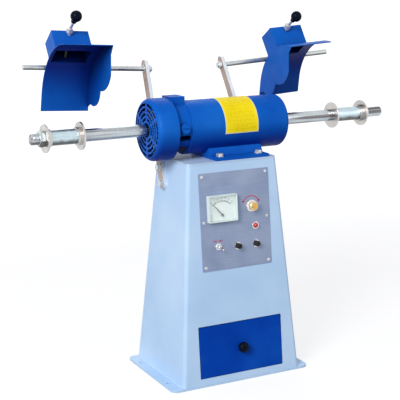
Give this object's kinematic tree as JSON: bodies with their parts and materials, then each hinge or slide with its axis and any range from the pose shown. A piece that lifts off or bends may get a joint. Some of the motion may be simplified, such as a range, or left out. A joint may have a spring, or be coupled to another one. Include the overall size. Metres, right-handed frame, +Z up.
{
  "type": "polishing machine",
  "caption": "Double-ended polishing motor with a slotted fan cowl on a tapered sheet pedestal, with a control panel, a drawer and adjustable curved dust hoods.",
  "frame": {"origin": "middle of the base plate's underside on the floor", "axes": "+X to the right along the spindle, +Y to the back, +Z up; the control panel and drawer face -Y"},
  "size_m": [1.045, 0.3804, 0.9719],
  "materials": {
    "pale_enamel": "smooth gloss enamel",
    "blue_enamel": "semi-gloss enamel",
    "panel_metal": "satin",
    "bright_steel": "turned and polished",
    "fastener_steel": "zinc plated",
    "drawer_steel": "grey primer",
    "bright_chrome": "plated",
    "cast_aluminium": "machined",
    "dark_iron": "lacquered",
    "copper_segments": "turned",
    "black_plastic": "moulded",
    "carbon": "pressed carbon",
    "gland_plastic": "moulded",
    "white_plastic": "moulded",
    "clear_window": "clear",
    "red_lens": "clear tinted",
    "yellow_label": "printed foil"
  },
  "bodies": {
    "cabinet": {"base_plate": "pale_enamel", "cabinet_shell": "pale_enamel", "motor_deck": "pale_enamel", "inner_shelf": "fastener_steel", "rear_cover": "pale_enamel", "cable_gland": "gland_plastic", "drawer_runners": "fastener_steel", "control_panel": "panel_metal", "casing_screws": "fastener_steel", "meter_case": "white_plastic", "meter_window": "clear_window", "speed_pot": "fastener_steel", "toggle_body": "bright_chrome", "lamp_body": "bright_chrome", "lamp_lens": "red_lens", "fuse_holders": "bright_chrome", "speed_controller": "cast_aluminium", "motor_yoke": "blue_enamel", "field_magnets": "dark_iron", "brush_end_bell": "blue_enamel", "drive_end_bell": "blue_enamel", "shaft_bearings": "bright_steel", "brush_caps": "blue_enamel", "carbon_brushes": "carbon", "fan_cowl": "blue_enamel", "motor_foot": "blue_enamel", "hex_bolts": "fastener_steel", "motor_label": "yellow_label", "left_arm": "bright_steel", "right_arm": "bright_steel"},
    "spindle": {"motor_shaft": "bright_steel", "armature_core": "dark_iron", "commutator": "copper_segments", "cooling_fan": "cast_aluminium", "left_spindle": "bright_steel", "right_spindle": "bright_steel", "wheel_flanges": "bright_steel", "wheel_sleeves": "bright_steel", "spindle_nuts": "bright_steel", "spindle_grub_screws": "fastener_steel"},
    "drawer": {"drawer_front": "blue_enamel", "drawer_tray": "drawer_steel", "drawer_knob": "black_plastic"},
    "meter_pointer": {"meter_needle": "black_plastic"},
    "speed_control": {"speed_knob": "cast_aluminium"},
    "toggle": {"toggle_lever": "bright_chrome"},
    "left_fuse": {"left_fuse_cap": "black_plastic"},
    "right_fuse": {"right_fuse_cap": "black_plastic"},
    "left_swing": {"left_rod": "bright_steel", "left_rod_nuts": "bright_steel"},
    "left_guard": {"left_hood": "blue_enamel", "left_clamp_block": "fastener_steel"},
    "left_clamp": {"left_clamp_lever": "bright_chrome", "left_ball_knob": "black_plastic"},
    "right_swing": {"right_rod": "bright_steel", "right_rod_nuts": "bright_steel"},
    "right_guard": {"right_hood": "blue_enamel", "right_clamp_block": "fastener_steel"},
    "right_clamp": {"right_clamp_lever": "bright_chrome", "right_ball_knob": "black_plastic"}
  },
  "joints": [
    {"name": "spindle_turn", "type": "hinge", "parent": "cabinet", "child": "spindle", "pos_m": [0, 0, 0.667], "axis": [1, 0, 0], "continuous": true},
    {"name": "drawer_slide", "type": "slide", "parent": "cabinet", "child": "drawer", "axis": [0, -1, 0], "range_m": [0, 0.16]},
    {"name": "pointer_swing", "type": "hinge", "parent": "cabinet", "child": "meter_pointer", "pos_m": [-0.041, -0.11025, 0.44784], "axis": [0, 0.9958, -0.0918], "range_deg": [0, 84]},
    {"name": "speed_turn", "type": "hinge", "parent": "cabinet", "child": "speed_control", "pos_m": [0.048, -0.10589, 0.46251], "axis": [0, 0.9958, -0.0918], "range_deg": [0, 210]},
    {"name": "toggle_flip", "type": "hinge", "parent": "cabinet", "child": "toggle", "pos_m": [-0.055, -0.12176, 0.36656], "axis": [-1, 0, 0], "range_deg": [0, 28]},
    {"name": "left_fuse_turn", "type": "hinge", "parent": "cabinet", "child": "left_fuse", "pos_m": [0.001, -0.11515, 0.36193], "axis": [0, -0.9958, 0.0918], "range_deg": [0, 60]},
    {"name": "right_fuse_turn", "type": "hinge", "parent": "cabinet", "child": "right_fuse", "pos_m": [0.056, -0.11515, 0.36193], "axis": [0, -0.9958, 0.0918], "range_deg": [0, 60]},
    {"name": "left_hood_swing", "type": "hinge", "parent": "cabinet", "child": "left_swing", "pos_m": [-0.11908, 0.17987, 0.80658], "axis": [0.9981, 0, -0.061], "range_deg": [-25, 20]},
    {"name": "left_hood_slide", "type": "slide", "parent": "left_swing", "child": "left_guard", "axis": [-0.9981, 0, 0.061], "range_m": [-0.09, 0.06]},
    {"name": "left_clamp_turn", "type": "hinge", "parent": "left_guard", "child": "left_clamp", "pos_m": [-0.35494, 0.17987, 0.82101], "axis": [0.0565, -0.3786, 0.9238], "range_deg": [-150, 150]},
    {"name": "right_hood_swing", "type": "hinge", "parent": "cabinet", "child": "right_swing", "pos_m": [0.11908, 0.17987, 0.80658], "axis": [0.9981, 0, 0.061], "range_deg": [-25, 20]},
    {"name": "right_hood_slide", "type": "slide", "parent": "right_swing", "child": "right_guard", "axis": [0.9981, 0, 0.061], "range_m": [-0.08, 0.08]},
    {"name": "right_clamp_turn", "type": "hinge", "parent": "right_guard", "child": "right_clamp", "pos_m": [0.30323, 0.17987, 0.81785], "axis": [-0.0522, -0.5187, 0.8534], "range_deg": [-150, 150]}
  ]
}
